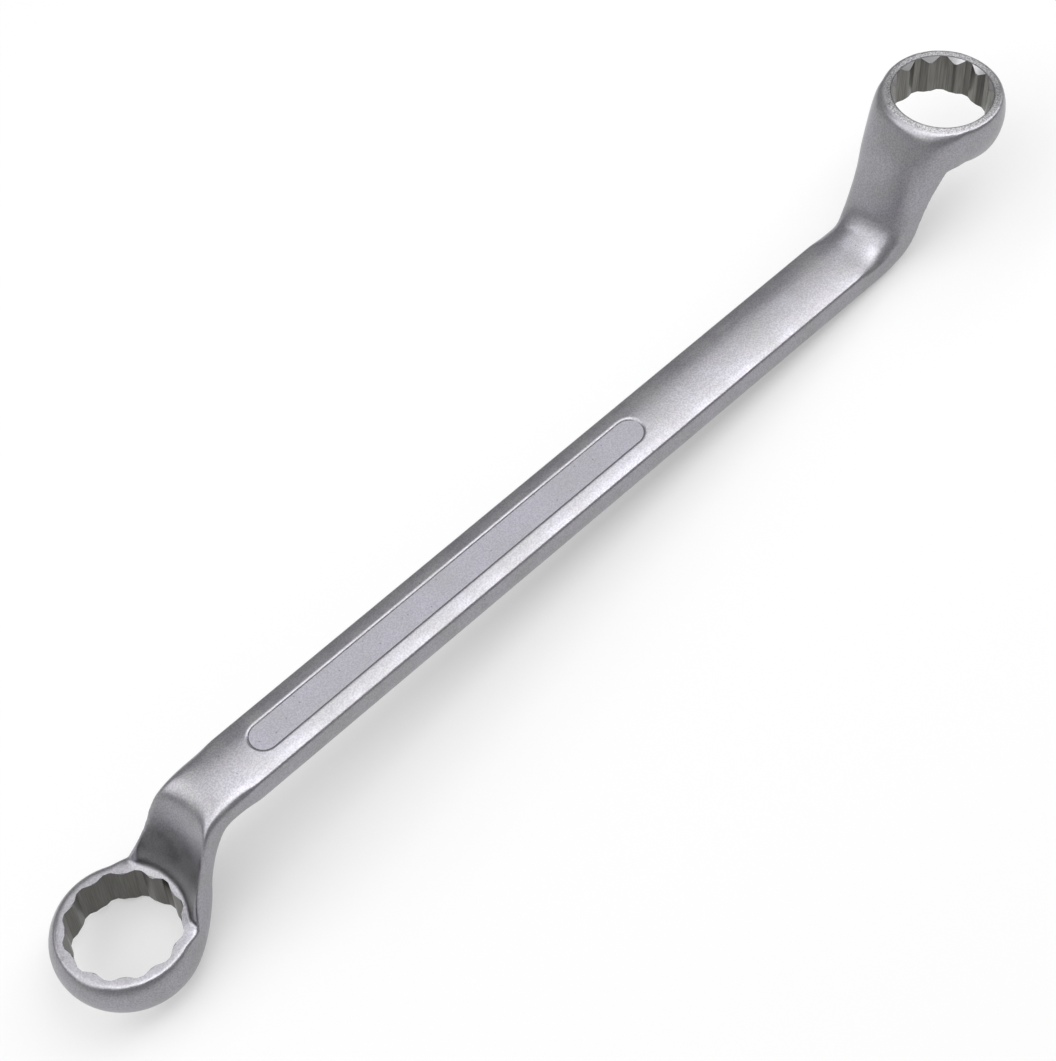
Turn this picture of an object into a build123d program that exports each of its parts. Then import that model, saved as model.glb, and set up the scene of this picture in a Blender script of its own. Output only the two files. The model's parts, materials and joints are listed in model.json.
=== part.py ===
from build123d import *
import os
from math import asin, atan2, cos, hypot, radians, sin, sqrt, tan

os.makedirs("parts", exist_ok=True)

# Nuts that the two rings take, across flats
large_across_flats = 27.0
small_across_flats = 24.0

# Rings: wall outside the nut's corners at the belly, depth along the axis, lean towards the shank
large_wall = 3.6
small_wall = 3.0
large_ring_depth = 12.9
small_ring_depth = 12.0
ring_tilt = 4.2

# How far the barrel of each ring draws in from its belly to the rim of its working face and of its back face
large_rim_inset = 2.4
small_rim_inset = 1.05
large_back_inset = 2.2
small_back_inset = 1.4

# Twelve-point bores: blunted grooves and teeth, the lead-in's depth at each working face, its width against
# its depth up to the grooves, the slight lead-in at each back face, turn of a groove from the shank
groove_blunting = 0.5
tooth_blunting = 0.1
large_lead_in_depth = 0.9
small_lead_in_depth = 1.8
lead_in_share = 0.55
back_lead_in_width = 0.3
back_lead_in_depth = 0.3
large_groove_turn = 8.0
small_groove_turn = -10.0

# Ring centres: distance between them along the shank, and of each from the shank's mid plane
ring_pitch = 292.2
large_ring_offset = 29.85
small_ring_offset = 31.1

# Shank: a flattened bar whose crowned faces and bulging flanks meet at four creases
shank_width = 18.9
crease_width = 17.7
crease_thickness = 6.9
face_crown = 1.15

# Sunk panel on each broad face, beside one neck, below the crown's crest
panel_length = 131.8
panel_width = 8.7
panel_depth = 0.65
panel_gap = 10.3

# Necks: slope to the shank, bend radius on the mid line, where the mid line meets each ring's mid plane
neck_slope = 68.0
bend_radius = 9.0
large_neck_reach = 14.2
small_neck_reach = 12.5
neck_lead = 5.0
neck_throat_width = 22.9
neck_web_width = 20.1
neck_web_crown = 1.6
neck_throat_crest = 5.0

# Foot of each neck in the ring's own planes: web corners, crown, how far the web draws in at the working
# face, and horns that lie inside the ring's wall
foot_web_reach = 3.9
foot_web_width = 21.2
foot_web_crown = 2.4
foot_web_draw = 0.35
foot_flank_bulge = 1.3
horn_angle = 76.0
horn_bury = 0.7

# The nose of each foot is drawn in to the rim of the working face on a cone, this much wider than it is high
nose_share = 1.0

# Throat: the round channel down each neck that lets a bolt's head into the bore from behind, its width as a
# share of the ring's across flats, and flat lands on both sides of it
throat_radius = 19.9
throat_margin = 1.0
throat_share = 0.84
throat_lip_radius = 9.0
throat_clearance = 0.15

# Room that cutting shapes run past what they cut
overrun = 90.0

# Stations along the shank's last stretch, the bend and the straight neck below it, as shares of each
lead_shares = (1.0, 0.67, 0.33)
bend_shares = (0.0, 0.25, 0.5, 0.75, 1.0)
slope_shares = (0.2, 0.42)
# At each station, how far the section has grown from the shank's to the neck's
growth_shares = (0.0, 0.0, 0.0, 0.0, 0.05, 0.22, 0.46, 0.7, 0.86, 1.14)
# At each station, the throat crease's distance from the mid line against the shank's
crease_shares = (1.0, 1.0, 1.0, 1.0, 0.97, 0.94, 0.92, 0.9, 1.0, 1.3)
# At each station, the web's distance from the mid line against the shank's, for the fillet inside the bend
web_shares = (1.0, 1.0, 1.0, 1.0, 1.12, 1.36, 1.4, 1.2, 1.05, 1.0)
# Growth, throat crease and web of the shank itself, which the stations start from
seam_shares = (0.0, 1.0, 1.0)
# Heights of the foot's sections against the ring's depth
foot_shares = (0.5, 0.0, -0.5, -0.9)

slope = radians(neck_slope)
tilt = radians(ring_tilt)
crest = crease_thickness / 2 + face_crown
lean = tan(radians(90) - slope - tilt)


def bend_reach(offset, neck_reach):
    """Distance along the shank from a ring's centre to the start of its bend."""
    return neck_reach + offset / tan(slope) + bend_radius * tan(slope / 2)


large_belly = large_across_flats / 2 / cos(radians(30)) + large_wall
small_belly = small_across_flats / 2 / cos(radians(30)) + small_wall
large_seam = bend_reach(large_ring_offset, large_neck_reach) + neck_lead
small_seam = bend_reach(small_ring_offset, small_neck_reach) + neck_lead

# The spanner lies on the large ring's lower rim and on the outside of the small end's bend
rim_reach = large_belly - large_rim_inset
rest_x = rim_reach * cos(tilt) - large_ring_depth / 2 * sin(tilt)
rest_z = -large_ring_offset - rim_reach * sin(tilt) - large_ring_depth / 2 * cos(tilt)
knuckle_x = ring_pitch - small_seam + neck_lead
knuckle_run = hypot(knuckle_x - rest_x, bend_radius - rest_z)
rest_angle = atan2(bend_radius - rest_z, knuckle_x - rest_x) - asin((bend_radius + crest) / knuckle_run)
along = Vector(cos(rest_angle), 0, -sin(rest_angle))
up = Vector(sin(rest_angle), 0, cos(rest_angle))

# Each end's frame is on the shank's mid plane over its ring: X to the other end, Z to the ring's back
large_end = Plane(origin=(0, 0, 0), x_dir=along, z_dir=up)
small_end = Plane(origin=along * ring_pitch, x_dir=-along, z_dir=-up)


def turned(frame, x, z, angle):
    """A section plane in an end's frame, facing the ring, turned down from the shank by an angle."""
    return Plane(origin=frame.from_local_coords(Vector(x, 0, z)), x_dir=frame.y_dir,
                 z_dir=frame.x_dir * -cos(angle) - frame.z_dir * sin(angle))


def ring_plane(frame, offset, height):
    """A plane square to a ring's axis, at a height above the ring's mid plane towards the shank."""
    centre = Vector(height * sin(tilt), 0, height * cos(tilt) - offset)
    return Plane(origin=frame.from_local_coords(centre),
                 x_dir=frame.x_dir * cos(tilt) - frame.z_dir * sin(tilt),
                 z_dir=frame.x_dir * sin(tilt) + frame.z_dir * cos(tilt))


def outline(plane, throat, throat_crest, flank, web, web_crest):
    """A closed section: a throat face, a web face, and two flanks through their middle points."""
    with BuildSketch(plane) as sketch:
        with BuildLine():
            ThreePointArc((-throat[0], throat[1]), (0, throat_crest), throat)
            ThreePointArc(throat, flank, web)
            ThreePointArc(web, (0, web_crest), (-web[0], web[1]))
            ThreePointArc((-web[0], web[1]), (-flank[0], flank[1]), (-throat[0], throat[1]))
        make_face()
    return sketch.sketch


def bar_section(plane, growth, crease_share, web_share):
    """A section of the shank, the bend or the neck, square to the mid line."""
    throat_half = (crease_width + (neck_throat_width - crease_width) * growth) / 2
    web_half = (crease_width + (neck_web_width - crease_width) * growth) / 2
    throat_crease = -crease_thickness / 2 * crease_share
    web_crease = crease_thickness / 2 * web_share
    throat_crest = -crest - (neck_throat_crest - crest) * growth
    web_crest = web_crease + face_crown + (neck_web_crown - face_crown) * growth
    bulge = (shank_width - crease_width) / 2 * (1 - growth / 2)
    flank = ((throat_half + web_half) / 2 + bulge, (throat_crease + web_crease) / 2)
    throat = (throat_half, throat_crease)
    web = (web_half, web_crease)
    return outline(plane, throat, throat_crest, flank, web, web_crest)


def foot_section(frame, offset, neck_reach, belly, back_inset, depth, share):
    """A section of the neck's foot in a plane of the ring, with horns that run into the ring's wall."""
    plane = ring_plane(frame, offset, depth * share)
    across = Plane(origin=plane.origin, x_dir=plane.y_dir, z_dir=-plane.z_dir)
    wall = belly - back_inset * min(abs(2 * share), 1) ** 2 - horn_bury
    horn = (wall * sin(radians(horn_angle)), wall * cos(radians(horn_angle)))
    draw = foot_web_draw * max(-2 * share, 0) ** 3
    web = (foot_web_width / 2 - draw / 2, neck_reach + foot_web_reach + depth * share * lean - draw)
    flank = ((horn[0] + web[0]) / 2 + foot_flank_bulge, (horn[1] + web[1]) / 2)
    return outline(across, horn, horn[1] - horn_bury, flank, web, web[1] + foot_web_crown)


def neck_sections(frame, offset, neck_reach, belly, back_inset, depth):
    """All sections from the seam on the shank to past the ring's working face."""
    start = bend_reach(offset, neck_reach)
    planes = [turned(frame, start + neck_lead * share, 0, 0) for share in lead_shares]
    for share in bend_shares:
        planes.append(turned(frame, start - bend_radius * sin(slope * share),
                             bend_radius * (cos(slope * share) - 1), slope * share))
    run = offset / sin(slope) - bend_radius * tan(slope / 2)
    for share in slope_shares:
        planes.append(turned(frame, start - bend_radius * sin(slope) - run * share * cos(slope),
                             bend_radius * (cos(slope) - 1) - run * share * sin(slope), slope))
    sections = [bar_section(*row) for row in zip(planes, growth_shares, crease_shares, web_shares)]
    for share in foot_shares:
        sections.append(foot_section(frame, offset, neck_reach, belly, back_inset, depth, share))
    return sections


def forged_end(frame, offset, neck_reach, across_flats, belly, depth, rim_inset, back_inset, groove_turn,
               lead_in_depth):
    """A ring with its neck in one, before it is parted at the ring's back face."""
    rim = belly - rim_inset
    back_rim = belly - back_inset
    tip = across_flats / 2 / cos(radians(15))
    groove = across_flats / 2 / cos(radians(30)) - groove_blunting
    middle = ring_plane(frame, offset, 0)
    back = ring_plane(frame, offset, depth / 2)
    side = Plane(origin=middle.origin, x_dir=middle.x_dir, z_dir=-middle.y_dir)
    axis = Axis(middle.origin, middle.z_dir)

    with BuildPart() as ring:
        with BuildSketch(side):
            with BuildLine():
                ThreePointArc((rim, -depth / 2), (belly, 0), (back_rim, depth / 2))
                Polyline((back_rim, depth / 2), (0, depth / 2), (0, -depth / 2), (rim, -depth / 2))
            make_face()
        revolve(axis=axis)

    with BuildPart() as dome:
        with BuildSketch(side):
            Polygon((0, -depth / 2), (rim, -depth / 2), (rim + overrun * nose_share, overrun - depth / 2),
                    (0, overrun - depth / 2), align=None)
        revolve(axis=axis)

    with BuildPart() as throat:
        foot = frame.to_local_coords(back.from_local_coords(Vector(back_rim - throat_margin, 0, 0)))
        line_x = foot.X - throat_radius * sin(slope)
        line_z = foot.Z + throat_radius * cos(slope)
        top = crest + throat_clearance + throat_radius
        corner_x = line_x + (top - line_z) / tan(slope)
        low = Vector(line_x - depth * cos(slope), 0, line_z - depth * sin(slope))
        with BuildLine() as path:
            FilletPolyline(frame.from_local_coords(low), frame.from_local_coords(Vector(corner_x, 0, top)),
                           frame.from_local_coords(Vector(corner_x + overrun, 0, top)),
                           radius=throat_radius + throat_lip_radius)
        with BuildSketch(Plane(origin=path.line @ 0, x_dir=frame.y_dir, z_dir=path.line % 0)):
            half = across_flats * throat_share / 2
            level = sqrt(throat_radius ** 2 - half ** 2)
            Circle(throat_radius)
            Rectangle(2 * half, 2 * throat_radius, mode=Mode.INTERSECT)
            with Locations((0, level)):
                Rectangle(2 * throat_radius, 2 * level, align=(Align.CENTER, Align.MAX))
        sweep()
        split(bisect_by=back, keep=Keep.TOP)

    with BuildPart() as bore:
        with BuildSketch(ring_plane(frame, offset, -overrun)):
            for turn in (0, 30):
                RegularPolygon(across_flats / 2, 6, major_radius=False, rotation=groove_turn + turn)
            Circle(groove, mode=Mode.INTERSECT)
            Circle(tip + tooth_blunting)
        extrude(amount=2 * overrun)

    with BuildPart() as lead_in:
        with BuildSketch(side):
            mouth = min(tip + lead_in_depth * lead_in_share, groove)
            Polygon((0, -depth / 2), (mouth, -depth / 2), (tip, lead_in_depth - depth / 2),
                    (tip, depth / 2 - back_lead_in_depth), (tip + back_lead_in_width, depth / 2),
                    (0, depth / 2), align=None)
            Rectangle(tip, depth, align=(Align.MIN, Align.CENTER), mode=Mode.SUBTRACT)
        revolve(axis=axis)

    with BuildPart() as end:
        loft(sections=neck_sections(frame, offset, neck_reach, belly, back_inset, depth))
        add(dome.part, mode=Mode.INTERSECT)
        add(ring.part)
        add(throat.part, mode=Mode.SUBTRACT)
        add(bore.part, mode=Mode.SUBTRACT)
        add(lead_in.part, mode=Mode.SUBTRACT)
    return end.part, back


large, large_back = forged_end(large_end, large_ring_offset, large_neck_reach, large_across_flats,
                               large_belly, large_ring_depth, large_rim_inset, large_back_inset,
                               large_groove_turn, large_lead_in_depth)
small, small_back = forged_end(small_end, small_ring_offset, small_neck_reach, small_across_flats,
                               small_belly, small_ring_depth, small_rim_inset, small_back_inset,
                               small_groove_turn, small_lead_in_depth)

with BuildPart() as large_ring:
    add(large)
    split(bisect_by=large_back, keep=Keep.BOTTOM)

with BuildPart() as large_neck:
    add(large)
    split(bisect_by=large_back, keep=Keep.TOP)

with BuildPart() as small_ring:
    add(small)
    split(bisect_by=small_back, keep=Keep.BOTTOM)

with BuildPart() as small_neck:
    add(small)
    split(bisect_by=small_back, keep=Keep.TOP)

# The shank between the two seams, with a sunk panel on each face, turned end for end on the other face
with BuildPart() as shank:
    extrude(bar_section(turned(large_end, large_seam, 0, 0), *seam_shares),
            amount=ring_pitch - large_seam - small_seam, dir=along)
    for frame, seam in ((large_end, large_seam), (small_end, small_seam)):
        middle = frame.from_local_coords(Vector(seam + panel_gap + panel_length / 2, 0, crest))
        with BuildSketch(Plane(origin=middle, x_dir=frame.x_dir, z_dir=frame.z_dir)):
            SlotOverall(panel_length, panel_width)
        extrude(amount=-panel_depth, mode=Mode.SUBTRACT)

pieces = {"large_ring": large_ring, "large_neck": large_neck, "shank": shank, "small_neck": small_neck,
          "small_ring": small_ring}
whole = Compound([piece.part for piece in pieces.values()]).bounding_box()
origin = Location((-whole.center().X, 0, -whole.min.Z))
for name, piece in pieces.items():
    finished = piece.part.moved(origin)
    finished.label = name
    export_step(finished, "parts/" + name + ".step")
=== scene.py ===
import json
from math import atan2, cos, pi, radians, sin, sqrt

import bmesh
import bpy
import numpy as np
from mathutils import Matrix, Vector


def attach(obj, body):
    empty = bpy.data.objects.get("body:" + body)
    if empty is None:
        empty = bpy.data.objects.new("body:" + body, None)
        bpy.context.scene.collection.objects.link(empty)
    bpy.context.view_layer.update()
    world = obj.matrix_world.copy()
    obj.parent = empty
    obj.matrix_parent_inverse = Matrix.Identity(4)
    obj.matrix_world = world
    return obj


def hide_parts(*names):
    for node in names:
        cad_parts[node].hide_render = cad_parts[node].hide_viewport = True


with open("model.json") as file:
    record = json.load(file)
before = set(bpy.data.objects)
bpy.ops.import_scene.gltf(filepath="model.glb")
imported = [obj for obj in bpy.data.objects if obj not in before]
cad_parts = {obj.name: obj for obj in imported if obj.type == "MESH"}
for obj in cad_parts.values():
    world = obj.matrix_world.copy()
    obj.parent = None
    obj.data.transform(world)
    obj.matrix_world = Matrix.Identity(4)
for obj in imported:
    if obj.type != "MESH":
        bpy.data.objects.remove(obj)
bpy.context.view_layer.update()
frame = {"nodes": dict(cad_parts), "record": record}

# The forging: one bar of alloy steel, hot-forged in a closed die into both rings, both necks and
# the shank. The die leaves soft edges and full fillets, so one skin is drawn over all the solids
# and eased before anything is machined in it. Lengths are in millimetres, in the shank's own axes.
MM = 0.001
RING_TILT = radians(4.2)
mounts = {mount["name"]: mount for mount in frame["record"]["mounts"]}
large_centre = Vector(mounts["large_socket"]["pos_m"]) / MM
small_centre = Vector(mounts["small_socket"]["pos_m"]) / MM
ring_axis = -Vector(mounts["large_socket"]["axis"])
across = Vector((0, 1, 0))
ring_side = across.cross(ring_axis).normalized()
along = (ring_side * cos(RING_TILT) + ring_axis * sin(RING_TILT)).normalized()
shank_up = along.cross(across).normalized()
shank_axes = np.array([along, across, shank_up])
ring_axes = np.array([ring_side, across, ring_axis])


def solid_mesh(name):
    """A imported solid's corners, in millimetres, and its faces."""
    mesh = frame["nodes"][name].data
    points = np.empty(len(mesh.vertices) * 3)
    mesh.vertices.foreach_get("co", points)
    return points.reshape(-1, 3) / MM, [list(polygon.vertices) for polygon in mesh.polygons]


shank_corners = solid_mesh("shank")[0] @ shank_axes.T
shank_low, shank_high = shank_corners[:, 2].min(), shank_corners[:, 2].max()
origin = np.array([along.dot(large_centre), 0, (shank_low + shank_high) / 2])
shank_start = shank_corners[:, 0].min() - origin[0]
shank_end = shank_corners[:, 0].max() - origin[0]
crest = shank_high - origin[2]


def to_shank(points):
    """From the part's axes into the shank's: X from over the large ring, Z up from mid plane."""
    return np.asarray(points) @ shank_axes.T - origin


def from_shank(points):
    """From the shank's axes back into the part's, in metres."""
    return (np.asarray(points) + origin) @ shank_axes * MM


def ring_to_shank(centre, points):
    """From a ring's own axes, whose Z is up its bore, into the shank's."""
    return to_shank(np.asarray(points) @ ring_axes + np.array(centre))


def circle(radius, sides):
    return [(radius * cos(2 * pi * side / sides), radius * sin(2 * pi * side / sides))
            for side in range(sides)]


def closed_stack(outlines):
    """Corners and faces of a solid through stacked outlines, anticlockwise from its last end."""
    count = len(outlines[0])
    points = [point for outline in outlines for point in outline]
    faces = [[level * count + i, level * count + (i + 1) % count,
              (level + 1) * count + (i + 1) % count, (level + 1) * count + i]
             for level in range(len(outlines) - 1) for i in range(count)]
    for level, order in ((0, -1), (len(outlines) - 1, 1)):
        hub = len(points)
        points.append(np.mean(outlines[level], axis=0))
        faces += [[hub] + [level * count + i, level * count + (i + 1) % count][::order]
                  for i in range(count)]
    return np.array(points), faces


def new_piece(name, points, faces):
    mesh = bpy.data.meshes.new(name)
    mesh.from_pydata([tuple(point) for point in points], [], faces)
    mesh.update()
    piece = bpy.data.objects.new(name, mesh)
    bpy.context.scene.collection.objects.link(piece)
    return piece


def applied(piece):
    """The piece, with its modifiers made real."""
    view = bpy.context.evaluated_depsgraph_get()
    mesh = bpy.data.meshes.new_from_object(piece.evaluated_get(view))
    piece.modifiers.clear()
    old, piece.data = piece.data, mesh
    bpy.data.meshes.remove(old)
    return piece


# Blanks that fill the bores and the panels, so that the skin runs over them as it did before
# machining. Both bores are turned a little about their own axis, as they were broached.
GROOVE_BLUNTING = 0.5
HALF_SIDE = radians(30)
GROOVE_PITCH = radians(30)
HALF_PITCH = radians(15)
BORE_BLANK_WALL = 0.9
BORE_BLANK_SIDES = 96
ends = {
    "large": dict(centre=large_centre, flats=27.0, turn=radians(8.0), face=-1, lead_in=0.9,
                  depth=mounts["large_socket"]["dims"]["length_mm"]),
    "small": dict(centre=small_centre, flats=24.0, turn=radians(10.0), face=1, lead_in=1.8,
                  depth=mounts["small_socket"]["dims"]["length_mm"]),
}
PANEL_LENGTH = 131.8
PANEL_WIDTH = 8.7
PANEL_DEPTH = 0.65
PANEL_GAP = 10.3
PANEL_BLANK_MARGIN = 0.3
PANEL_BLANK_DEPTH = 2
PANEL_BLANK_ROWS = (3.0, 1.5, 0.1)
ARC_STEPS = 24
CREASE_HALF = 8.85
CROWN = 1.15
crown_radius = (CREASE_HALF ** 2 + CROWN ** 2) / (2 * CROWN)


def crown_height(y):
    return crest - crown_radius + sqrt(crown_radius ** 2 - y ** 2)


def slot(half_width, height):
    """A round-ended outline about the panel's middle, its height given for each distance across."""
    straight = (PANEL_LENGTH - PANEL_WIDTH) / 2
    angles = [pi * (step / ARC_STEPS - 0.5) for step in range(ARC_STEPS + 1)]
    half = [(straight + half_width * cos(angle), half_width * sin(angle)) for angle in angles]
    return [(x, y, height(y)) for x, y in half + [(-x, -y) for x, y in half]]


def on_face(points, side):
    """From the top face to the panel's own place: turned over, end for end, for the underside."""
    points = np.asarray(points) * (1, side, side)
    middle = PANEL_GAP + PANEL_LENGTH / 2
    return points + (shank_start + middle if side > 0 else shank_end - middle, 0, 0)


body_points, body_faces = [], []
for name in frame["nodes"]:
    points, faces = solid_mesh(name)
    body_points.append(to_shank(points))
    body_faces.append(faces)
for end in ends.values():
    end["groove"] = end["flats"] / 2 / cos(HALF_SIDE) - GROOVE_BLUNTING
    end["tip"] = end["flats"] / 2 / cos(HALF_PITCH)
    outline = circle(end["groove"] + BORE_BLANK_WALL, BORE_BLANK_SIDES)
    points, faces = closed_stack([[(x, y, height) for x, y in outline]
                                  for height in (-end["depth"] / 2, end["depth"] / 2)])
    body_points.append(ring_to_shank(end["centre"], points))
    body_faces.append(faces)
for side in (1, -1):
    blank_half = PANEL_WIDTH / 2 + PANEL_BLANK_MARGIN
    blank = [slot(blank_half, lambda y: crest - PANEL_BLANK_DEPTH)]
    blank += [slot(half_width, crown_height) for half_width in (blank_half, *PANEL_BLANK_ROWS)]
    points, faces = closed_stack(blank)
    body_points.append(on_face(points, side))
    body_faces.append(faces)

# One skin over solids and blanks. The long even middle of the shank is squeezed while the skin
# is made, because nothing changes along it, and is drawn out again once the skin is eased.
SKIN_GRID = 0.3
SHANK_SQUEEZE = 6.0
SQUEEZE_MARGIN = 12.0
squeeze_from = shank_start + SQUEEZE_MARGIN
squeeze_to = shank_end - SQUEEZE_MARGIN
squeezed_end = squeeze_from + (squeeze_to - squeeze_from) / SHANK_SQUEEZE
small_seam = squeezed_end + SQUEEZE_MARGIN

starts = np.cumsum([0] + [len(points) for points in body_points])
body_points = np.vstack(body_points)
x = body_points[:, 0]
x -= (np.clip(x, squeeze_from, squeeze_to) - squeeze_from) * (1 - 1 / SHANK_SQUEEZE)
body_faces = [[start + corner for corner in face]
              for start, faces in zip(starts, body_faces) for face in faces]
skin = new_piece("forging", body_points, body_faces)
remesh = skin.modifiers.new("skin", "REMESH")
remesh.mode = "VOXEL"
remesh.voxel_size = SKIN_GRID
applied(skin)

# Easing: every edge a little, the shank's creases least, the webs and the shoulder over the
# large throat further, and hollows further still, as metal fills a die's fillets.
# A fade says where a weight begins and where it is whole.
EDGE_PASSES = 22
CREASE_HOLD = 0.75
CREASE_FADE_LARGE = (-2, 4)
CREASE_FADE_SMALL = (4, 0)
WEB_PASSES = 350
WEB_WAY = np.array((0.6, 0, -0.8))
WEB_FADE_FACING = (0.3, 0.6)
WEB_FADE_AT_SEAM = (3, -2)
WEB_FADE_AT_RING = (8, 11)
WEB_FADE_IN_DEPTH = (-1.5, -3.5)
SHOULDER_PASSES = 450
SHOULDER_WAY = (-0.56, 0, 0.83)
SHOULDER_FADE_FACING = (0.45, 0.75)
SHOULDER_FADE_ACROSS = (7.5, 4.5)
SHOULDER_FADE_ALONG = (5, -1)
SHOULDER_FADE_UP = (-14, -9)
NECK_PASSES = 110
NECK_FADE_AT_RING = (16, 19)
NECK_FADE_AT_SEAM = (4, 0)
FILLET_PASSES = 150
LAST_PASSES = 2
BLUR_PASSES = 14
EASING_STEP = 0.5
NORMALS_EVERY = 10
points = np.empty(len(skin.data.vertices) * 3)
skin.data.vertices.foreach_get("co", points)
points = points.reshape(-1, 3)
edges = np.empty(len(skin.data.edges) * 2, dtype=np.int64)
skin.data.edges.foreach_get("vertices", edges)
edge_from, edge_to = edges.reshape(-1, 2).T


def skin_normals():
    skin.data.vertices.foreach_set("co", points.ravel())
    skin.data.update()
    normals = np.empty(len(points) * 3)
    skin.data.vertex_normals.foreach_get("vector", normals)
    return normals.reshape(-1, 3)


def ease(passes, weight, outward_only=False):
    """Draws each point of the skin to the middle of its neighbours, as far as its weight says."""
    held = (weight[edge_from] > 0) | (weight[edge_to] > 0)
    used, index = np.unique(np.concatenate([edge_from[held], edge_to[held]]), return_inverse=True)
    near, far = np.split(index, 2)
    count = np.bincount(index, minlength=len(used))[:, None]
    step = EASING_STEP * weight[used][:, None]
    for number in range(passes):
        if outward_only and number % NORMALS_EVERY == 0:
            normals = skin_normals()[used]
        local = points[used]
        total = np.stack([np.bincount(near, local[far, axis], len(used))
                          + np.bincount(far, local[near, axis], len(used)) for axis in range(3)], 1)
        pull = total / count - local
        if outward_only:
            pull = np.maximum((pull * normals).sum(1), 0)[:, None] * normals
        points[used] = local + step * pull


def faded(value, fade, origin=0):
    """How far a value is through a fade, which is given from an origin: 0 to 1."""
    start, stop = origin + fade[0], origin + fade[1]
    return np.clip((value - start) / (stop - start), 0, 1)


def blurred(weight):
    """A weight without the skin's own grid in it."""
    size = len(points)
    count = np.bincount(edge_from, minlength=size) + np.bincount(edge_to, minlength=size)
    for _ in range(BLUR_PASSES):
        weight = (np.bincount(edge_from, weight[edge_to], size)
                  + np.bincount(edge_to, weight[edge_from], size)) / count
    return weight


on_shank = (faded(points[:, 0], CREASE_FADE_LARGE, shank_start)
            * faded(points[:, 0], CREASE_FADE_SMALL, small_seam))
ease(EDGE_PASSES, blurred(1 - CREASE_HOLD * on_shank))

normals = skin_normals()
on_web = np.zeros(len(points))
for end, seam in ((ends["large"], shank_start), (ends["small"], small_seam)):
    way = -end["face"]
    middle = ring_to_shank(end["centre"], [(0, 0, 0)])[0]
    if way < 0:
        middle[0] -= shank_end - seam
    reach = way * (points[:, 0] - middle[0])
    height = -way * ((points - middle) @ (sin(RING_TILT), 0, cos(RING_TILT)))
    on_web += (faded(normals @ (WEB_WAY * way), WEB_FADE_FACING)
               * faded(reach, WEB_FADE_AT_SEAM, way * (seam - middle[0]))
               * faded(reach, WEB_FADE_AT_RING)
               * faded(height, WEB_FADE_IN_DEPTH, end["depth"] / 2))
ease(WEB_PASSES, blurred(on_web))

on_shoulder = (faded(skin_normals() @ SHOULDER_WAY, SHOULDER_FADE_FACING)
               * faded(abs(points[:, 1]), SHOULDER_FADE_ACROSS)
               * faded(points[:, 0], SHOULDER_FADE_ALONG, shank_start)
               * faded(points[:, 2], SHOULDER_FADE_UP))
ease(SHOULDER_PASSES, blurred(on_shoulder))

on_neck = (faded(points[:, 0], NECK_FADE_AT_RING)
           * faded(points[:, 0], NECK_FADE_AT_SEAM, shank_start))
ease(NECK_PASSES, blurred(on_neck))
ease(FILLET_PASSES, np.ones(len(points)), outward_only=True)
ease(LAST_PASSES, np.ones(len(points)))

x = points[:, 0]
x += (np.clip(x, squeeze_from, squeezed_end) - squeeze_from) * (SHANK_SQUEEZE - 1)
skin.data.vertices.foreach_set("co", points.ravel())
skin.data.update()


def cut(cutter):
    """Takes a cutter's shape out of the forging."""
    boolean = skin.modifiers.new("cut", "BOOLEAN")
    boolean.operation = "DIFFERENCE"
    boolean.solver = "MANIFOLD"
    boolean.object = cutter
    applied(skin)
    bpy.data.objects.remove(cutter)


# The sockets: twelve-point bores broached through each steel ring, after its working face is
# turned flat. A nut's hexagon stands in them in twelve places. Grooves and teeth are blunted and
# both mouths countersunk.
TOOTH_BLUNTING = 0.1
LEAD_IN_SHARE = 0.52
BACK_LEAD_IN = 0.3
MOUTH_PAST_GROOVE = 0.02
CORE = 1.5
FACING_DEPTH = 0.06
FACING_RADIUS = 23.0
CLEAR = 2.0
GROOVES = 12
SIDE_STEPS = 4
TURNED_SIDES = 180


def twelve_points(end):
    """The socket's outline: blunted grooves, straight sides, blunted teeth."""
    half_flats, tooth = end["flats"] / 2, end["tip"] + TOOTH_BLUNTING
    side_start = HALF_SIDE - atan2(sqrt(end["groove"] ** 2 - half_flats ** 2), half_flats)
    side_end = HALF_SIDE - atan2(sqrt(tooth ** 2 - half_flats ** 2), half_flats)
    half = [(0.0, end["groove"]), (side_start / 2, end["groove"])]
    for step in range(SIDE_STEPS + 1):
        angle = side_start + (side_end - side_start) * step / SIDE_STEPS
        half.append((angle, half_flats / cos(HALF_SIDE - angle)))
    half += [((side_end + HALF_PITCH) / 2, tooth), (HALF_PITCH, tooth)]
    outline = []
    for groove in range(GROOVES):
        turn = end["turn"] + groove * GROOVE_PITCH
        outline += [(turn + angle, radius) for angle, radius in half]
        outline += [(turn + GROOVE_PITCH - angle, radius) for angle, radius in half[-2:0:-1]]
    return [(radius * cos(angle), radius * sin(angle)) for angle, radius in outline]


def along_bore(end, outlines):
    """A cutter from outlines at heights towards the working face, last one lowest."""
    stack = [[(x, y, height * end["face"]) for x, y in outline] for outline, height in outlines]
    points, faces = closed_stack(stack if end["face"] < 0 else stack[::-1])
    return ring_to_shank(end["centre"], points), faces


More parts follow.
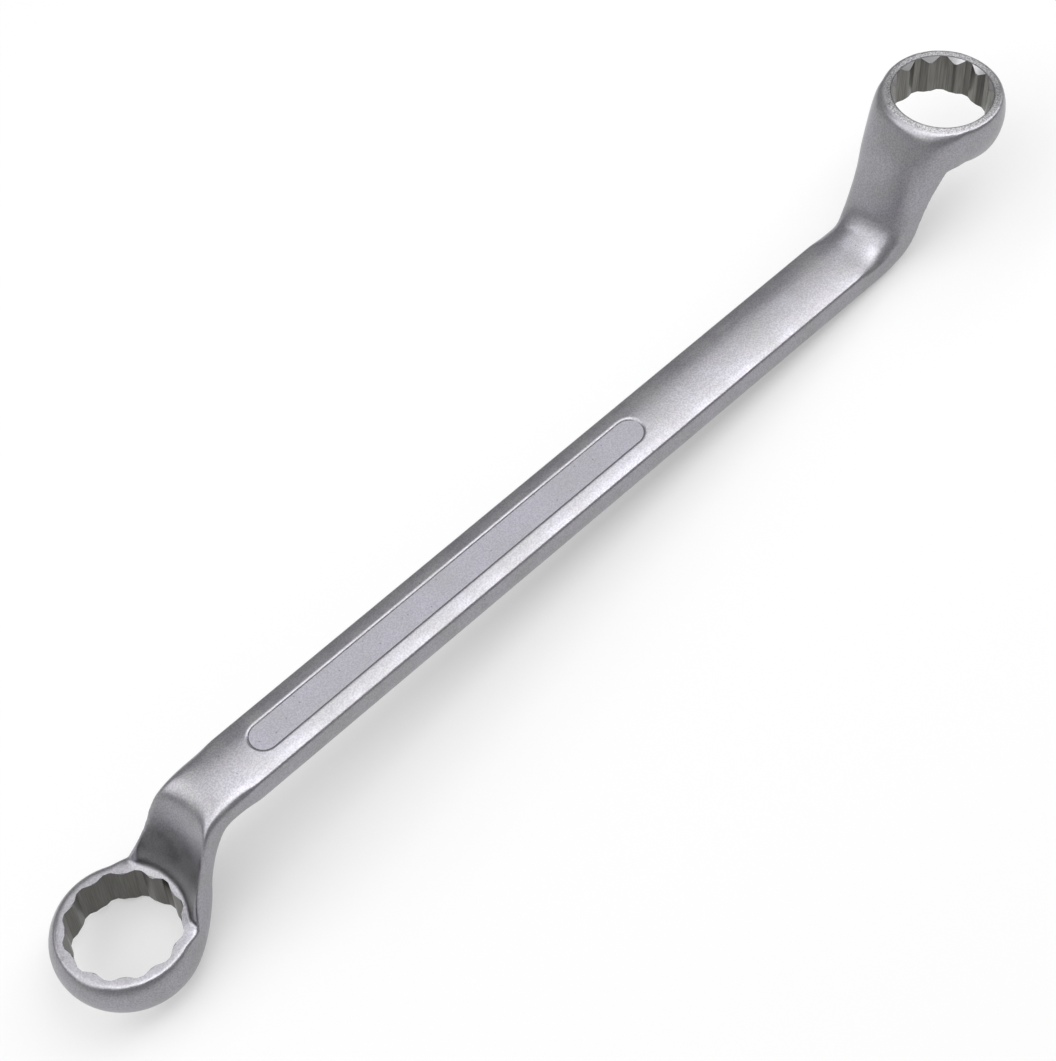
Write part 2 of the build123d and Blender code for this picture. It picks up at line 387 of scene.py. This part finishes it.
for name, end in ends.items():
    back_face = -end["depth"] / 2
    end["flat"] = end["depth"] / 2 - FACING_DEPTH
    end["mouth"] = min(end["tip"] + end["lead_in"] * LEAD_IN_SHARE,
                       end["groove"] + MOUTH_PAST_GROOVE)
    star = twelve_points(end)
    cut(new_piece(name + "_broach", *along_bore(end, [
        (star, end["flat"] + CLEAR), (star, back_face - CLEAR / 2)])))
    core = end["tip"] - CORE
    back_mouth = end["tip"] + BACK_LEAD_IN
    profile = [(FACING_RADIUS, end["flat"] + CLEAR), (FACING_RADIUS, end["flat"]),
               (end["mouth"], end["flat"]),
               (core, end["flat"] - (end["mouth"] - core) / LEAD_IN_SHARE),
               (core, back_face + back_mouth - core),
               (back_mouth, back_face), (back_mouth, back_face - CLEAR / 2)]
    cut(new_piece(name + "_facing_tool", *along_bore(end, [
        (circle(radius, TURNED_SIDES), height) for radius, height in profile])))

# The panels: a long round-ended field on each broad face, coined flat and sunk into the steel by
# the finishing die. Its floor is level, its foot is sharp and its lip is well rounded.
LIP_WIDTH = 1.0
LIP_STEPS = 10
LIP_ROUNDING = 2.2
LIP_FOOT = 0.6
LIP_MARGIN = 0.4
COINING_SKIN = 0.02


def coining_die(side):
    floor = crest - PANEL_DEPTH
    inner = (PANEL_WIDTH - LIP_WIDTH) / 2
    rows = [(inner - LIP_FOOT, 0.0)]
    for step in range(LIP_STEPS + 1):
        share = step / LIP_STEPS
        rows.append((inner + LIP_WIDTH * share, 1 - (1 - share) ** LIP_ROUNDING))
    rows.append((inner + LIP_WIDTH + LIP_MARGIN, 1.0))
    stack = [slot(half_width,
                  lambda y, rise=rise: floor + (crown_height(y) - COINING_SKIN - floor) * rise)
             for half_width, rise in rows]
    stack.append(slot(rows[-1][0], lambda y: crest + CLEAR / 2))
    points, faces = closed_stack(stack)
    return on_face(points, side), faces


for side in (1, -1):
    cut(new_piece("coining_die", *coining_die(side)))

# The regions: the forging is one piece of steel, and is parted here where its solids meet, so
# that each region carries its own finish. The shading runs on across each seam.
SEAM_RISE = 0.4
SHARP_ANGLE = radians(22)
into_part = np.c_[shank_axes.T * MM, from_shank(np.zeros(3))]
skin.data.transform(Matrix(np.vstack([into_part, [0, 0, 0, 1]]).tolist()))
skin.data.update()
bpy.context.view_layer.objects.active = skin
skin.select_set(True)
bpy.ops.object.shade_smooth_by_angle(angle=SHARP_ANGLE)
normals = np.empty(len(skin.data.vertices) * 3)
skin.data.vertex_normals.foreach_get("vector", normals)
run_on = skin.data.attributes.new("run_on", "FLOAT_VECTOR", "POINT")
run_on.data.foreach_set("vector", normals)

ring_seams = {
    name: (Vector(end["centre"]) - ring_axis * end["face"] * (end["depth"] / 2 + SEAM_RISE)) * MM
    for name, end in ends.items()}
shank_seams = {"large": Vector(from_shank((shank_start, 0, 0))),
               "small": Vector(from_shank((shank_end, 0, 0)))}


def region(name, *seams):
    """The forging on the near side of each seam, given as a place and the way beyond it."""
    body = bmesh.new()
    body.from_mesh(skin.data)
    rims = []
    for place, beyond in seams:
        whole = body.verts[:] + body.edges[:] + body.faces[:]
        found = bmesh.ops.bisect_plane(body, geom=whole, plane_co=place, plane_no=beyond,
                                       clear_outer=True)
        rim = [item for item in found["geom_cut"] if isinstance(item, bmesh.types.BMEdge)]
        for cap in bmesh.ops.edgeloop_fill(body, edges=rim)["faces"]:
            cap.smooth = False
        rims += rim
    for edge in rims:
        edge.smooth = False
    body.verts.index_update()
    seam_corners = {vert.index for edge in rims for vert in edge.verts}
    mesh = bpy.data.meshes.new(name)
    body.to_mesh(mesh)
    body.free()

    # A normal of zero leaves a corner its own. At a seam, the whole forging's is given instead.
    run_on = np.empty(len(mesh.vertices) * 3)
    mesh.attributes["run_on"].data.foreach_get("vector", run_on)
    run_on = run_on.reshape(-1, 3)
    mesh.attributes.remove(mesh.attributes["run_on"])
    given = np.zeros((len(mesh.loops), 3))
    for polygon in mesh.polygons:
        if polygon.use_smooth:
            for loop in polygon.loop_indices:
                corner = mesh.loops[loop].vertex_index
                if corner in seam_corners:
                    given[loop] = run_on[corner]
    mesh.normals_split_custom_set([tuple(normal) for normal in given])
    piece = bpy.data.objects.new(name, mesh)
    bpy.context.scene.collection.objects.link(piece)
    return piece


def stands_for(name, *seams):
    """A region as a piece that rides with the spanner in its solid's place."""
    piece = region(name + "_forging", *seams)
    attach(piece, "root")
    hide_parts(name)
    return piece


def finish(piece, choose, *materials):
    """Gives each face the finish chosen from its middle, in millimetres, and its normal."""
    mesh = piece.data
    middles, facing = np.empty(len(mesh.polygons) * 3), np.empty(len(mesh.polygons) * 3)
    mesh.polygons.foreach_get("center", middles)
    mesh.polygons.foreach_get("normal", facing)
    for material in materials:
        mesh.materials.append(material)
    chosen = choose(middles.reshape(-1, 3) / MM, facing.reshape(-1, 3))
    mesh.polygons.foreach_set("material_index", chosen)


# The shank: the drawn-out middle of the steel forging, never ground, only tumbled in stones and
# plated. Its two panels keep the finishing die's smoother, slightly bluer floor.
WAVE = 1.3
WAVE_HEIGHT = 0.022
SPECK = 0.42
SPECK_HEIGHT = 0.007
SPECK_STRENGTH_LEAST = 0.3
PINHOLE = 0.28
CLOUD = 9.0
FLOOR_MARGIN = 0.05
FLOOR_LEVEL = 0.999


def srgb(code):
    """A linear colour from an sRGB hex code."""
    values = [int(code[i:i + 2], 16) / 255 for i in (1, 3, 5)]
    return [v / 12.92 if v <= 0.04045 else ((v + 0.055) / 1.055) ** 2.4 for v in values] + [1]


def node(material, kind, settings=(), **links):
    """Adds a node with its settings, and links each socket to what is given, or sets it to that."""
    added = material.node_tree.nodes.new("ShaderNode" + kind)
    for setting, value in dict(settings).items():
        setattr(added, setting, value)
    for socket, value in links.items():
        entry = next(item for item in added.inputs if item.identifier.replace(" ", "_") == socket)
        if isinstance(value, bpy.types.NodeSocket):
            material.node_tree.links.new(value, entry)
        else:
            entry.default_value = value
    return added


def metal(name, roughness):
    """A metal with nothing on it yet: the material, its links and its shader's sockets."""
    material = bpy.data.materials.new(name)
    material.use_nodes = True
    shader = material.node_tree.nodes["Principled BSDF"].inputs
    shader["Metallic"].default_value = 1.0
    shader["Roughness"].default_value = roughness
    return material, material.node_tree.links, shader


def satin_chrome(name, dark, violet, olive, smooth, rough, wave_height, speck_height,
                 pinhole_pitch):
    """Satin chromium plate over tumbled steel. Low waves and fine specks break up a soft metallic
    sheen, which clouds faintly from violet to olive and has a dark pinhole here and there. The
    specks come and go in patches, and are drawn twice as coarse as stone marks, to show."""
    material, links, shader = metal(name, smooth)
    place = node(material, "TexCoord").outputs["Object"]
    waves = node(material, "TexNoise", Vector=place, Scale=1 / (WAVE * MM), Detail=1.0)
    specks = node(material, "TexNoise", Vector=place, Scale=1 / (SPECK * MM), Detail=1.0)
    clouds = node(material, "TexNoise", Vector=place, Scale=1 / (CLOUD * MM), Detail=3.0)
    tone = node(material, "MapRange", Value=specks.outputs["Fac"], From_Min=0.37, From_Max=0.63)
    cloud = node(material, "MapRange", Value=clouds.outputs["Fac"], From_Min=0.35, From_Max=0.65)
    film = node(material, "Mix", dict(data_type="RGBA"), Factor_Float=cloud.outputs["Result"],
                A_Color=srgb(violet), B_Color=srgb(olive))
    speckled = node(material, "Mix", dict(data_type="RGBA"), Factor_Float=tone.outputs["Result"],
                    A_Color=srgb(dark), B_Color=film.outputs[2])
    holes = node(material, "TexVoronoi", Vector=place, Scale=1 / (pinhole_pitch * MM))
    sound = node(material, "MapRange", Value=holes.outputs["Distance"],
                 From_Min=PINHOLE / pinhole_pitch / 2, From_Max=PINHOLE / pinhole_pitch)
    pitted = node(material, "Mix", dict(data_type="RGBA"), Factor_Float=sound.outputs["Result"],
                  A_Color=srgb("#76757B"), B_Color=speckled.outputs[2])
    links.new(pitted.outputs[2], shader["Base Color"])
    patches = node(material, "MapRange", Value=clouds.outputs["Fac"], From_Min=0.35,
                   From_Max=0.65, To_Min=smooth, To_Max=rough)
    links.new(patches.outputs["Result"], shader["Roughness"])
    rolling = node(material, "Bump", Height=waves.outputs["Fac"], Distance=wave_height * MM)
    strength = node(material, "MapRange", Value=clouds.outputs["Fac"], From_Min=0.4, From_Max=0.6,
                    To_Min=SPECK_STRENGTH_LEAST)
    grain = node(material, "Bump", Height=tone.outputs["Result"], Distance=speck_height * MM,
                 Strength=strength.outputs["Result"], Normal=rolling.outputs["Normal"])
    links.new(grain.outputs["Normal"], shader["Normal"])
    return material


plate = satin_chrome("satin_chrome_on_tumbled_forging",
                     dark="#8F8E93", violet="#A2A0A8", olive="#9F9E9F", smooth=0.28, rough=0.38,
                     wave_height=WAVE_HEIGHT, speck_height=SPECK_HEIGHT, pinhole_pitch=5.5)
coined = satin_chrome("satin_chrome_on_coined_panel",
                      dark="#8F8E95", violet="#9D9BA5", olive="#9B9A9F", smooth=0.34, rough=0.40,
                      wave_height=WAVE_HEIGHT / 3, speck_height=SPECK_HEIGHT / 2,
                      pinhole_pitch=2.4)


def panel_floor(middles, facing):
    """Chooses the coined finish for the sunk floors, and the tumbled one elsewhere."""
    places = to_shank(middles)
    upward = facing @ np.array(shank_up)
    sunk = np.sign(upward) * places[:, 2] < crest - PANEL_DEPTH + FLOOR_MARGIN
    return sunk & (abs(upward) > FLOOR_LEVEL) & (abs(places[:, 1]) < PANEL_WIDTH / 2)


shank = stands_for("shank", (shank_seams["large"], -along), (shank_seams["small"], along))
finish(shank, panel_floor, plate, coined)

# The necks: the cranked stretches between the shank and each ring, one piece of steel with both.
# They carry the same tumbled and plated finish as the shank, and it runs on over each seam.
for name, way in (("large", 1), ("small", -1)):
    neck = stands_for(name + "_neck", (ring_seams[name], -ring_axis * way),
                      (shank_seams[name], along * way))
    neck.data.materials.append(plate)

# The rings: round forged barrels of the same steel, each turned flat on its working face and
# broached through. Outside they are plated like the necks. The turned face shines in rings,
# and the broached wall stays dull, its colour darkened further as painted shade in the bore.
TURNING_PITCH = 0.35
TURNING_DEPTH = 0.02
PIT_DEPTH = 0.02
# Where the painted shade at each bore's mouth fades out, from whole to none, beyond the mouth.
MOUTH_SHADE_BAND = (0.1, 0.5)
COUNTERSINK_MARGIN = 0.02
BROACH_MARK = 0.3
BROACH_MARK_LENGTH = 9.0
BROACH_MARK_DEPTH = 0.015
UPRIGHT, LEVEL = 0.3, 0.95
WALL_MARGIN, FLAT_MARGIN, MOUTH_MARGIN = 0.1, 0.01, 0.05


def in_ring(material, end, place):
    """A place on a ring in millimetres, with Z up its bore."""
    turn = Matrix(ring_axes.tolist())
    placed = node(material, "Mapping", Vector=place, Scale=(1 / MM, 1 / MM, 1 / MM),
                  Rotation=turn.to_euler(), Location=-(turn @ Vector(end["centre"])))
    return placed.outputs["Vector"]


def turned_face(name, end):
    """Chromium plate over a turned face. Fine rings round the bore draw highlights across them.
    A soft band of painted shade darkens its edge at the bore, and the countersink inside it is
    given a brighter colour, partly a bright cut and partly a painted highlight. The rings are drawn
    three times as coarse as a real feed, so that they show."""
    material, links, shader = metal("satin_chrome_on_turned_face_" + name, 0.35)
    on_part = node(material, "TexCoord").outputs["Object"]
    place = in_ring(material, end, on_part)
    flat = node(material, "VectorMath", dict(operation="MULTIPLY"), Vector=place,
                Vector_001=(1, 1, 0))
    radius = node(material, "VectorMath", dict(operation="LENGTH"), Vector=flat.outputs["Vector"])
    rings = node(material, "TexNoise", dict(noise_dimensions="1D"), W=radius.outputs["Value"],
                 Scale=1 / TURNING_PITCH, Detail=2.0)
    specks = node(material, "TexNoise", Vector=place, Scale=1 / SPECK, Detail=2.0)
    tone = node(material, "MapRange", Value=specks.outputs["Fac"], From_Min=0.35, From_Max=0.65)
    speckled = node(material, "Mix", dict(data_type="RGBA"), Factor_Float=tone.outputs["Result"],
                    A_Color=srgb("#858487"), B_Color=srgb("#CFCED0"))
    # Painted shade: a soft dark band on the turned face just outside the countersink's mouth.
    edge = node(material, "MapRange", Value=radius.outputs["Value"],
                From_Min=end["mouth"] + MOUTH_SHADE_BAND[0], From_Max=end["mouth"] + MOUTH_SHADE_BAND[1])
    mouth_shaded = node(material, "Mix", dict(data_type="RGBA"), Factor_Float=edge.outputs["Result"],
                 A_Color=srgb("#6E6D72"), B_Color=speckled.outputs[2])
    # Partly painted highlight: the countersink gets a brighter colour than the turned face.
    inside = node(material, "Math", dict(operation="LESS_THAN"), Value=radius.outputs["Value"],
                  Value_001=end["mouth"] - COUNTERSINK_MARGIN)
    whole = node(material, "Mix", dict(data_type="RGBA"), Factor_Float=inside.outputs[0],
                 A_Color=mouth_shaded.outputs[2], B_Color=srgb("#DAD9DB"))
    links.new(whole.outputs[2], shader["Base Color"])
    grain = node(material, "Bump", Height=rings.outputs["Fac"], Distance=TURNING_DEPTH * MM)
    pits = node(material, "Bump", Height=specks.outputs["Fac"], Distance=PIT_DEPTH * MM,
                Normal=grain.outputs["Normal"])
    links.new(pits.outputs["Normal"], shader["Normal"])
    from_centre = node(material, "VectorMath", dict(operation="SUBTRACT"), Vector=on_part,
                       Vector_001=Vector(end["centre"]) * MM)
    round_bore = node(material, "VectorMath", dict(operation="CROSS_PRODUCT"),
                      Vector=Vector(ring_axis), Vector_001=from_centre.outputs["Vector"])
    tangent = node(material, "VectorMath", dict(operation="NORMALIZE"),
                   Vector=round_bore.outputs["Vector"])
    links.new(tangent.outputs["Vector"], shader["Tangent"])
    shader["Anisotropic"].default_value = 0.85
    shader["Anisotropic Rotation"].default_value = 0.25
    return material


def broached_wall(name, end, dull, bright):
    """Steel left dull by the broach, where little plate reaches, its colour darkened further as
    painted shade inside the bore. Long marks run up the bore. The marks are drawn twice as coarse
    as real ones, so that they show."""
    material, links, shader = metal("thin_plate_on_broached_wall_" + name, 0.32)
    place = in_ring(material, end, node(material, "TexCoord").outputs["Object"])
    drawn_out = node(material, "VectorMath", dict(operation="MULTIPLY"), Vector=place,
                     Vector_001=(1 / BROACH_MARK, 1 / BROACH_MARK, 1 / BROACH_MARK_LENGTH))
    marks = node(material, "TexNoise", Vector=drawn_out.outputs["Vector"], Scale=1.0, Detail=2.0)
    tone = node(material, "MapRange", Value=marks.outputs["Fac"], From_Min=0.3, From_Max=0.7)
    colour = node(material, "Mix", dict(data_type="RGBA"), Factor_Float=tone.outputs["Result"],
                  A_Color=srgb(dull), B_Color=srgb(bright))
    links.new(colour.outputs[2], shader["Base Color"])
    score = node(material, "Bump", Height=marks.outputs["Fac"], Distance=BROACH_MARK_DEPTH * MM)
    links.new(score.outputs["Normal"], shader["Normal"])
    return material


def socket_faces(end):
    """Chooses plate, turned face or broached wall for each face of a ring."""
    def choose(middles, facing):
        places = (middles - np.array(end["centre"])) @ ring_axes.T
        outward = facing @ ring_axes.T
        height, rise = places[:, 2] * end["face"], outward[:, 2] * end["face"]
        radius = np.hypot(places[:, 0], places[:, 1])
        wall = (radius < end["groove"] + WALL_MARGIN) & (abs(rise) < UPRIGHT)
        turned = (height > end["flat"] - FLAT_MARGIN) & (rise > LEVEL)
        countersunk = (radius < end["mouth"] + MOUTH_MARGIN) & (rise > UPRIGHT) & (height > 0)
        return np.where(wall, 2, np.where(turned | countersunk, 1, 0))
    return choose


# The wall colours are darkened as painted shade inside the bores, the large ring's most.
for name, way, dull, bright in (("large", -1, "#53524F", "#656460"),
                                ("small", 1, "#62615D", "#7C7B77")):
    end = ends[name]
    ring = stands_for(name + "_ring", (ring_seams[name], -ring_axis * way))
    finish(ring, socket_faces(end), plate, turned_face(name, end),
           broached_wall(name, end, dull, bright))
bpy.data.objects.remove(skin)

# The bench: a plain sheet of matt white paper that the spanner lies on, in a white room, under
# soft boxes of cloth that hang level over it, so that each part of the metal mirrors one of them.
SHEET_REACH = 3
PAPER_GLOW = 0.36
ROOM = 0.44
BOX_HEIGHT = 1.0
sheet = new_piece("bench_sheet", [(-SHEET_REACH, -SHEET_REACH, 0), (SHEET_REACH, -SHEET_REACH, 0),
                                  (SHEET_REACH, SHEET_REACH, 0), (-SHEET_REACH, SHEET_REACH, 0)],
                  [(0, 1, 2, 3)])

# Paper scatters light evenly and shines nowhere. Seen by the eye or in the metal it glows white,
# while the light that it throws on the spanner stays plain.
paper = bpy.data.materials.new("matt_white_paper")
paper.use_nodes = True
paper_shader = paper.node_tree.nodes["Principled BSDF"].inputs
paper_shader["Base Color"].default_value = srgb("#B4B4B4")
paper_shader["Roughness"].default_value = 0.9
paper_shader["Specular IOR Level"].default_value = 0.0
rays = node(paper, "LightPath").outputs
seen = node(paper, "Math", dict(operation="MAXIMUM"), Value=rays["Is Camera Ray"],
            Value_001=rays["Is Glossy Ray"])
seen = node(paper, "Math", dict(operation="MAXIMUM"), Value=seen.outputs[0],
            Value_001=rays["Is Transmission Ray"])
glow = node(paper, "Math", dict(operation="MULTIPLY"), Value=seen.outputs[0],
            Value_001=PAPER_GLOW)
paper_shader["Emission Color"].default_value = (1, 1, 1, 1)
paper.node_tree.links.new(glow.outputs[0], paper_shader["Emission Strength"])
sheet.data.materials.append(paper)

world = bpy.data.worlds.new("studio")
bpy.context.scene.world = world
world.use_nodes = True
world.node_tree.nodes["Background"].inputs["Color"].default_value = (ROOM, ROOM, ROOM, 1)


def soft_box(name, x, y, brightness):
    """A level soft box: its reach along and across in metres, and how bright its face looks."""
    light = bpy.data.lights.new(name, "AREA")
    light.shape = "RECTANGLE"
    light.size, light.size_y = x[1] - x[0], y[1] - y[0]
    light.energy = brightness * pi * light.size * light.size_y
    lamp = bpy.data.objects.new(name, light)
    bpy.context.scene.collection.objects.link(lamp)
    lamp.location = along * (x[0] + x[1]) / 2 + across * (y[0] + y[1]) / 2 + shank_up * BOX_HEIGHT
    lamp.rotation_euler = Matrix((along, across, shank_up)).transposed().to_euler()


soft_box("main_box", (-0.5, 1.7), (-0.38, 0.12), 3.0)
soft_box("end_box", (-2.0, -0.5), (-0.38, 1.3), 1.7)
soft_box("low_box", (-4.5, -2.0), (-0.5, 2.4), 1.0)
soft_box("dimmer_box", (-0.5, 0.9), (0.12, 0.72), 1.45)

# The camera: where the photograph was taken from, above the near side of the large ring, with
# the same lens and slight roll.
AZIMUTH, ELEVATION, ROLL = radians(-35.95), radians(55.79), radians(-8.90)
LENS_PIXELS = 2600.08
PICTURE_WIDTH = 1056
SENSOR_WIDTH = 36.0
NEAREST = 0.01
STAND = (-78.774, -300.02, 543.51)
back = Vector((sin(AZIMUTH) * cos(ELEVATION), -cos(AZIMUTH) * cos(ELEVATION), sin(ELEVATION)))
level_right = (-back).cross(Vector((0, 0, 1))).normalized()
level_up = level_right.cross(-back)
picture_right = level_right * cos(ROLL) + level_up * sin(ROLL)
picture_up = level_up * cos(ROLL) - level_right * sin(ROLL)
camera_axes = np.array([picture_right, picture_up, back]) @ shank_axes
optics = bpy.data.cameras.new("camera")
optics.sensor_fit = "HORIZONTAL"
optics.sensor_width = SENSOR_WIDTH
optics.lens = LENS_PIXELS * SENSOR_WIDTH / PICTURE_WIDTH
optics.clip_start = NEAREST
camera = bpy.data.objects.new("camera", optics)
bpy.context.scene.collection.objects.link(camera)
camera.matrix_world = (Matrix.Translation(Vector(from_shank(STAND)))
                       @ Matrix(camera_axes.T.tolist()).to_4x4())
bpy.context.scene.camera = camera
bpy.context.scene.view_settings.view_transform = "Standard"
